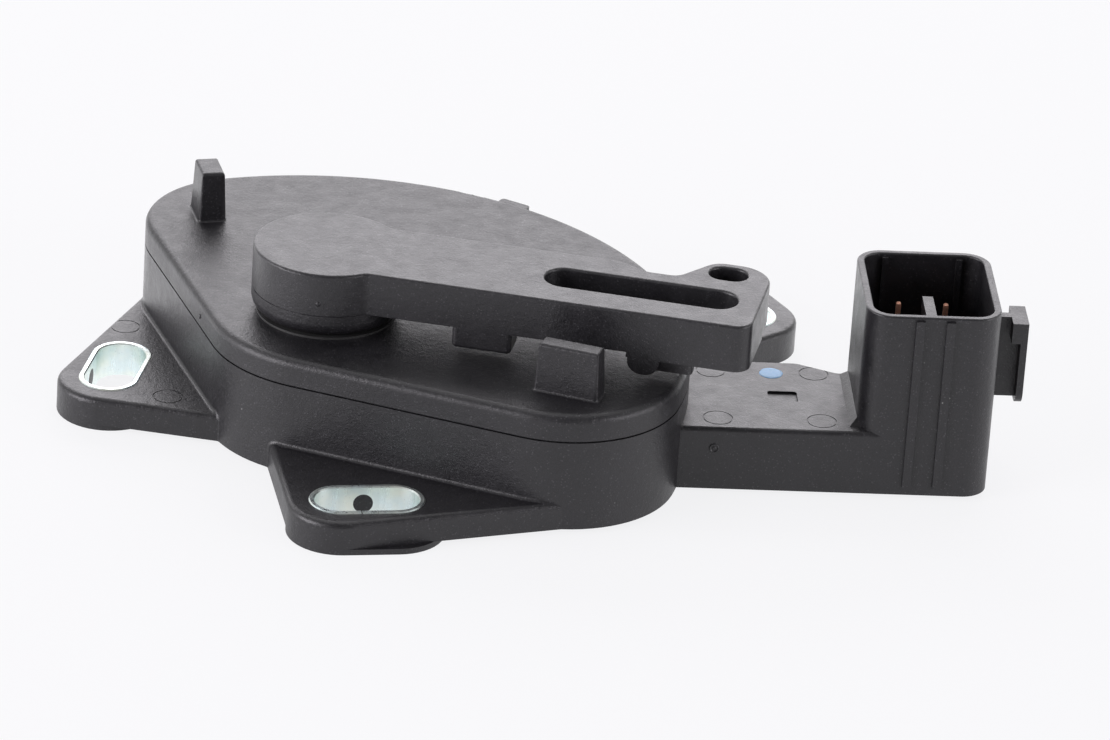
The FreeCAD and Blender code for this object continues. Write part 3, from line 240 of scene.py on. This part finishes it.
BLACK_DARK, BLACK_LIGHT = (0.006, 0.0056, 0.0070), (0.015, 0.0143, 0.0168)
MATERIALS = {
    "housing_plastic": moulded_plastic("housing_plastic", BLACK_DARK, BLACK_LIGHT),
    "cover_plastic": moulded_plastic("cover_plastic", BLACK_DARK, BLACK_LIGHT, 0.40),
    "lever_plastic": moulded_plastic("lever_plastic", (0.009, 0.0086, 0.0100), (0.021, 0.0202, 0.0232), 0.36),
    "zinc_steel": plated_steel("zinc_steel"),
    "copper": drawn_metal("copper", (1.0, 0.60, 0.45), (0.88, 0.50, 0.36), 0.62),
    "contact_metal": drawn_metal("contact_metal", (0.80, 0.62, 0.30), (0.66, 0.48, 0.22), 0.28),
    "board": laminate("board"),
    "bearing_bronze": sintered_metal("bearing_bronze"),
    "seal_rubber": rubber("seal_rubber"),
    "washer_plastic": natural_plastic("washer_plastic", (0.03, 0.03, 0.03), (0.06, 0.06, 0.06)),
    "shaft_steel": drawn_metal("shaft_steel", (0.58, 0.58, 0.58), (0.44, 0.44, 0.45), 0.26),
    "carrier_plastic": natural_plastic("carrier_plastic", (0.44, 0.41, 0.34), (0.58, 0.55, 0.47)),
}
for part in frame["record"]["subparts"]:
    piece = frame["nodes"][part["node"]]
    piece.data.materials.clear()
    piece.data.materials.append(MATERIALS[part["material_slot"]])


# Small details on the surface

SUNK = 0.02 * MM


def paint_dab(x, y, z, radius):
    """Low dome with a slightly uneven rim, on a flat top face."""
    mesh = bpy.data.meshes.new("paint_dab")
    bm = bmesh.new()
    rings, around = 6, 48
    thickness = 0.06 * MM
    loops = []
    for ring in range(rings + 1):
        share = (rings - ring) / rings
        height = z + thickness * (1 - share ** 4)
        loop = []
        for step in range(around):
            angle = 2 * math.pi * step / around
            uneven = 1 + 0.06 * noise.noise(Vector((math.cos(angle) * 1.3, math.sin(angle) * 1.3, 2.0)))
            reach = radius * share * uneven
            loop.append((x + reach * math.cos(angle), y + reach * math.sin(angle), height))
        loops.append(loop)
    rim = [bm.verts.new(p) for p in loops[0]]
    base = [bm.verts.new((p[0], p[1], z - SUNK)) for p in loops[0]]
    bm.faces.new(reversed(base))
    for i in range(around):
        j = (i + 1) % around
        bm.faces.new((base[i], base[j], rim[j], rim[i]))
    last = rim
    for loop in loops[1:-1]:
        here = [bm.verts.new(p) for p in loop]
        for i in range(around):
            j = (i + 1) % around
            bm.faces.new((last[i], last[j], here[j], here[i]))
        last = here
    top = bm.verts.new((x, y, z + thickness))
    for i in range(around):
        bm.faces.new((last[i], last[(i + 1) % around], top))
    for face in bm.faces:
        face.smooth = True
    bm.to_mesh(mesh)
    bm.free()
    dab = bpy.data.objects.new("paint_dab", mesh)
    scene.collection.objects.link(dab)
    mesh.materials.append(paint("marking_paint"))
    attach(dab, "base")


def moulded_mark(name, centre, outward, profile, body, slot):
    """Small round mark of the mould on a face: a profile of (radius, height) turned about its normal."""
    axis = Vector(outward).normalized()
    side = axis.orthogonal().normalized()
    across = axis.cross(side)
    around = 32
    mesh = bpy.data.meshes.new(name)
    bm = bmesh.new()
    last = None
    for radius, height in profile:
        ring = []
        for step in range(around):
            angle = 2 * math.pi * step / around
            spoke = side * math.cos(angle) + across * math.sin(angle)
            ring.append(bm.verts.new((Vector(centre) + spoke * radius + axis * height) * MM))
        if last:
            for i in range(around):
                j = (i + 1) % around
                bm.faces.new((last[i], last[j], ring[j], ring[i]))
        else:
            bm.faces.new(reversed(ring))
        last = ring
    bm.faces.new(last)
    for face in bm.faces:
        face.smooth = True
    bm.to_mesh(mesh)
    bm.free()
    mark = bpy.data.objects.new(name, mesh)
    scene.collection.objects.link(mark)
    mesh.materials.append(MATERIALS[slot])
    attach(mark, body)


NECK_TOP = 9.6 * MM
paint_dab(59.4 * MM, 0.5 * MM, NECK_TOP, 1.6 * MM)
RAISED_RING = [(0.68, -0.04), (0.66, 0.10), (0.58, 0.13), (0.48, 0.10), (0.42, 0.02), (0.30, 0.01),
               (0.24, 0.08), (0.12, 0.10)]
PIP = [(0.34, -0.04), (0.33, 0.06), (0.28, 0.13), (0.18, 0.18), (0.06, 0.20)]
moulded_mark("gate_mark", (50.9, -16.5, 6.7), (0, -1, 0), RAISED_RING, "base", "housing_plastic")
moulded_mark("hub_pip", (-1.51, -9.87, 22.4), (-0.151, -0.989, 0), PIP, "lever", "lever_plastic")
moulded_mark("joint_pip", (-16.53, 1.1, 14.8), (-0.956, -0.292, 0), PIP, "base", "cover_plastic")


# Floor, light and camera

def light_path_mix(tree, seen, mirrored):
    """One value for rays from the camera or a clear material, one for rays from a gloss, 0 for others."""
    path = tree.nodes.new("ShaderNodeLightPath")
    total = None
    for ray, value in (("Is Camera Ray", seen), ("Is Transmission Ray", seen), ("Is Glossy Ray", mirrored)):
        share = tree.nodes.new("ShaderNodeMath")
        share.operation = "MULTIPLY"
        share.inputs[1].default_value = value
        tree.links.new(path.outputs[ray], share.inputs[0])
        if total:
            larger = tree.nodes.new("ShaderNodeMath")
            larger.operation = "MAXIMUM"
            tree.links.new(total, larger.inputs[0])
            tree.links.new(share.outputs["Value"], larger.inputs[1])
            total = larger.outputs["Value"]
        else:
            total = share.outputs["Value"]
    return total


FLOOR_HALF = 3.0
FLOOR_DROP = 0.02 * MM
FLOOR_GLOW, FLOOR_GLOW_IN_GLOSS = 0.86, 0.5
TABLE_BRIGHT_FROM, TABLE_BRIGHT_TO = -20 * MM, 50 * MM
TABLE_GLOW_BEFORE, TABLE_GLOW_BEHIND = 1.25, 2.9
TABLE_DARK_FROM, TABLE_DARK_TO = -200 * MM, -80 * MM
TABLE_GLOW_FAR = 0.0
SKY_FRONT_IN_GLOSS = 0.25
SKY_FRONT_FROM, SKY_FRONT_TO = -0.4, 0.3


def ramp(tree, value, start, end, low, high):
    """Smooth rise from one value to another, as an output socket."""
    node = tree.nodes.new("ShaderNodeMapRange")
    node.interpolation_type = "SMOOTHSTEP"
    for key, number in zip(("From Min", "From Max", "To Min", "To Max"), (start, end, low, high)):
        node.inputs[key].default_value = number
    tree.links.new(value, node.inputs["Value"])
    return node.outputs["Result"]


def times(tree, first, second):
    """Product of two sockets."""
    node = tree.nodes.new("ShaderNodeMath")
    node.operation = "MULTIPLY"
    tree.links.new(first, node.inputs[0])
    tree.links.new(second, node.inputs[1])
    return node.outputs["Value"]


def depth(tree, coordinates):
    """Y of a place on the table or of a direction in the sky: away from the camera is positive."""
    place = tree.nodes.new("ShaderNodeSeparateXYZ")
    tree.links.new(tree.nodes.new("ShaderNodeTexCoord").outputs[coordinates], place.inputs["Vector"])
    return place.outputs["Y"]


def only_in_gloss(tree, value):
    """A value in a gloss, and 1 for all other rays."""
    choice = tree.nodes.new("ShaderNodeMapRange")
    choice.inputs["To Min"].default_value = 1.0
    tree.links.new(tree.nodes.new("ShaderNodeLightPath").outputs["Is Glossy Ray"], choice.inputs["Value"])
    tree.links.new(value, choice.inputs["To Max"])
    return choice.outputs["Result"]


def glow_in_gloss(tree):
    """Strength of 1 to the eye. In a gloss the table is bright behind the part and dark in front."""
    y = depth(tree, "Object")
    behind = ramp(tree, y, TABLE_BRIGHT_FROM, TABLE_BRIGHT_TO, TABLE_GLOW_BEFORE, TABLE_GLOW_BEHIND)
    near = ramp(tree, y, TABLE_DARK_FROM, TABLE_DARK_TO, TABLE_GLOW_FAR, 1.0)
    return only_in_gloss(tree, times(tree, behind, near))


def make_floor():
    """Pale floor under the pads that stays white to the eye and keeps a soft shadow."""
    mesh = bpy.data.meshes.new("floor")
    bm = bmesh.new()
    bmesh.ops.create_grid(bm, x_segments=1, y_segments=1, size=FLOOR_HALF)
    bm.to_mesh(mesh)
    bm.free()
    floor = bpy.data.objects.new("floor", mesh)
    floor.location.z = -FLOOR_DROP
    scene.collection.objects.link(floor)
    material = bpy.data.materials.new("floor_white")
    material.use_nodes = True
    tree = material.node_tree
    shader = tree.nodes["Principled BSDF"]
    shader.inputs["Base Color"].default_value = (0.88, 0.88, 0.89, 1.0)
    shader.inputs["Roughness"].default_value = 0.9
    shader.inputs["Specular IOR Level"].default_value = 0.1
    glow = tree.nodes.new("ShaderNodeEmission")
    glow.inputs["Color"].default_value = (0.975, 0.975, 0.99, 1.0)
    tree.links.new(glow_in_gloss(tree), glow.inputs["Strength"])
    mix = tree.nodes.new("ShaderNodeMixShader")
    tree.links.new(light_path_mix(tree, FLOOR_GLOW, FLOOR_GLOW_IN_GLOSS), mix.inputs["Fac"])
    tree.links.new(shader.outputs["BSDF"], mix.inputs[1])
    tree.links.new(glow.outputs["Emission"], mix.inputs[2])
    tree.links.new(mix.outputs["Shader"], tree.nodes["Material Output"].inputs["Surface"])
    mesh.materials.append(material)


SKY_AS_LIGHT, SKY_IN_GLOSS = 0.25, 0.85


def make_world():
    """Even white surroundings: full white where they are seen or mirrored, softer as light."""
    world = bpy.data.worlds.new("studio")
    scene.world = world
    world.use_nodes = True
    tree = world.node_tree
    background = tree.nodes["Background"]
    background.inputs["Color"].default_value = (1.0, 1.0, 1.0, 1.0)
    level = tree.nodes.new("ShaderNodeMapRange")
    level.inputs["To Min"].default_value = SKY_AS_LIGHT
    level.inputs["To Max"].default_value = 1.0
    tree.links.new(light_path_mix(tree, 1.0, SKY_IN_GLOSS), level.inputs["Value"])
    sky = depth(tree, "Generated")
    front = ramp(tree, sky, SKY_FRONT_FROM, SKY_FRONT_TO, SKY_FRONT_IN_GLOSS, 1.0)
    strength = times(tree, level.outputs["Result"], only_in_gloss(tree, front))
    tree.links.new(strength, background.inputs["Strength"])


LAMP_TINT = (1.0, 0.965, 1.02)


def softbox(name, place, target, width, height, radiance):
    """Rectangular lamp that faces a point."""
    lamp = bpy.data.lights.new(name, "AREA")
    lamp.shape = "RECTANGLE"
    lamp.size = width
    lamp.size_y = height
    lamp.energy = radiance * math.pi * width * height
    lamp.color = LAMP_TINT
    item = bpy.data.objects.new(name, lamp)
    item.location = place
    item.rotation_mode = "QUATERNION"
    item.rotation_quaternion = (Vector(target) - Vector(place)).to_track_quat("-Z", "Y")
    scene.collection.objects.link(item)


VIEW_TURN, VIEW_RISE, VIEW_ROLL = -4.324, 25.885, 3.854
VIEW_TARGET = (32.107, 19.192, -0.1)
VIEW_DISTANCE = 948.6
PHOTO_WIDTH_PX, FOCAL_PX = 1110.0, 7001.0


def make_camera():
    """Camera fitted to the photo: its view angles in degrees, target and distance in mm, and focal length."""
    turn, rise, roll = (math.radians(angle) for angle in (VIEW_TURN, VIEW_RISE, VIEW_ROLL))
    right = Vector((math.cos(turn), math.sin(turn), 0))
    away = Vector((-math.sin(turn), math.cos(turn), 0))
    up = away * math.sin(rise) + Vector((0, 0, math.cos(rise)))
    forward = away * math.cos(rise) - Vector((0, 0, math.sin(rise)))
    x_axis = right * math.cos(roll) + up * math.sin(roll)
    y_axis = up * math.cos(roll) - right * math.sin(roll)
    place = (Vector(VIEW_TARGET) - forward * VIEW_DISTANCE) * MM
    data = bpy.data.cameras.new("camera")
    data.sensor_width = 36.0
    data.lens = data.sensor_width * FOCAL_PX / PHOTO_WIDTH_PX
    camera = bpy.data.objects.new("camera", data)
    rotation = Matrix((x_axis, y_axis, -forward)).transposed().to_4x4()
    camera.matrix_world = Matrix.Translation(place) @ rotation
    scene.collection.objects.link(camera)
    scene.camera = camera


make_floor()
make_world()
MIDDLE = (0.03, 0.0, 0.012)
softbox("back_box", (0.05, 0.75, 0.42), MIDDLE, 1.1, 0.55, 2.9)
softbox("top_box", (0.0, 0.1, 0.9), MIDDLE, 0.7, 0.6, 0.6)
softbox("left_box", (-0.75, -0.30, 0.22), MIDDLE, 0.7, 0.5, 7.0)
softbox("right_box", (0.80, -0.40, 0.22), MIDDLE, 0.6, 0.5, 4.0)
make_camera()
